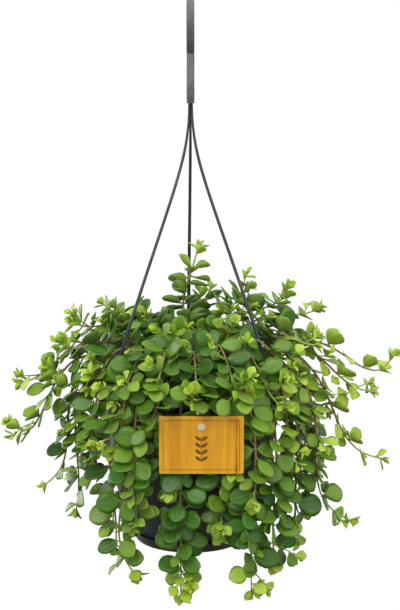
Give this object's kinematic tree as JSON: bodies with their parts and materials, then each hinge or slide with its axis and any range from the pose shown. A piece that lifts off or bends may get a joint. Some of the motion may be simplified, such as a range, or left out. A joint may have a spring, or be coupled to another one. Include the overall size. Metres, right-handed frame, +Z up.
{
  "type": "potted trailing jade peperomia",
  "caption": "Trailing foliage plant with round fleshy leaves in a round plastic pot that hangs by its rim from a three-strand hanger with a hook, with a blank wooden label.",
  "frame": {"origin": "the seat inside the top of the hook, where what it hangs on bears", "axes": "+Z up, -Y to the front where the label is, +X to the right seen from the front"},
  "size_m": [0.3338, 0.2421, 0.4792],
  "materials": {
    "hanger_plastic": "satin",
    "pot_plastic": "satin",
    "potting_soil": "matte",
    "label_wood": "satin",
    "stud_plastic": "satin",
    "stake_plastic": "satin",
    "leaf_mature": "satin",
    "leaf_mid": "satin",
    "leaf_light": "satin",
    "leaf_young": "satin"
  },
  "bodies": {
    "root": {"hanger_hook": "hanger_plastic", "hanger_strand_left": "hanger_plastic", "hanger_strand_right": "hanger_plastic", "hanger_strand_back": "hanger_plastic", "pot": "pot_plastic", "saucer": "pot_plastic", "soil": "potting_soil", "label": "label_wood", "label_stud": "stud_plastic", "label_stake": "stake_plastic", "hanging_stem_01": "leaf_mature", "hanging_stem_02": "leaf_mature", "hanging_stem_03": "leaf_mature", "hanging_stem_04": "leaf_mature", "hanging_stem_05": "leaf_mature", "hanging_stem_06": "leaf_mature", "hanging_stem_07": "leaf_mature", "hanging_stem_08": "leaf_mature", "hanging_stem_09": "leaf_mature", "hanging_stem_10": "leaf_mature", "hanging_stem_11": "leaf_mature", "hanging_stem_12": "leaf_mature", "hanging_stem_13": "leaf_mature", "hanging_stem_14": "leaf_mature", "hanging_stem_15": "leaf_mature", "hanging_stem_16": "leaf_mature", "skirt_stem_01": "leaf_light", "skirt_stem_02": "leaf_light", "skirt_stem_03": "leaf_light", "skirt_stem_04": "leaf_light", "skirt_stem_05": "leaf_light", "skirt_stem_06": "leaf_light", "skirt_stem_07": "leaf_light", "skirt_stem_08": "leaf_light", "skirt_stem_09": "leaf_light", "skirt_stem_10": "leaf_light", "skirt_stem_11": "leaf_light", "skirt_stem_12": "leaf_light", "skirt_stem_13": "leaf_light", "crown_stem_01": "leaf_mid", "crown_stem_02": "leaf_mid", "crown_stem_03": "leaf_mid", "crown_stem_04": "leaf_mid", "crown_stem_05": "leaf_mid", "crown_stem_06": "leaf_mid", "crown_stem_07": "leaf_mid", "crown_stem_08": "leaf_mid", "crown_stem_09": "leaf_mid", "crown_stem_10": "leaf_mid", "crown_stem_11": "leaf_mid", "crown_stem_12": "leaf_mid", "crown_stem_13": "leaf_mid", "crown_stem_14": "leaf_mid", "upright_stem_01": "leaf_young", "upright_stem_02": "leaf_young", "upright_stem_03": "leaf_young", "upright_stem_04": "leaf_young", "upright_stem_05": "leaf_young", "upright_stem_06": "leaf_young", "upright_stem_07": "leaf_young"}
  },
  "joints": []
}
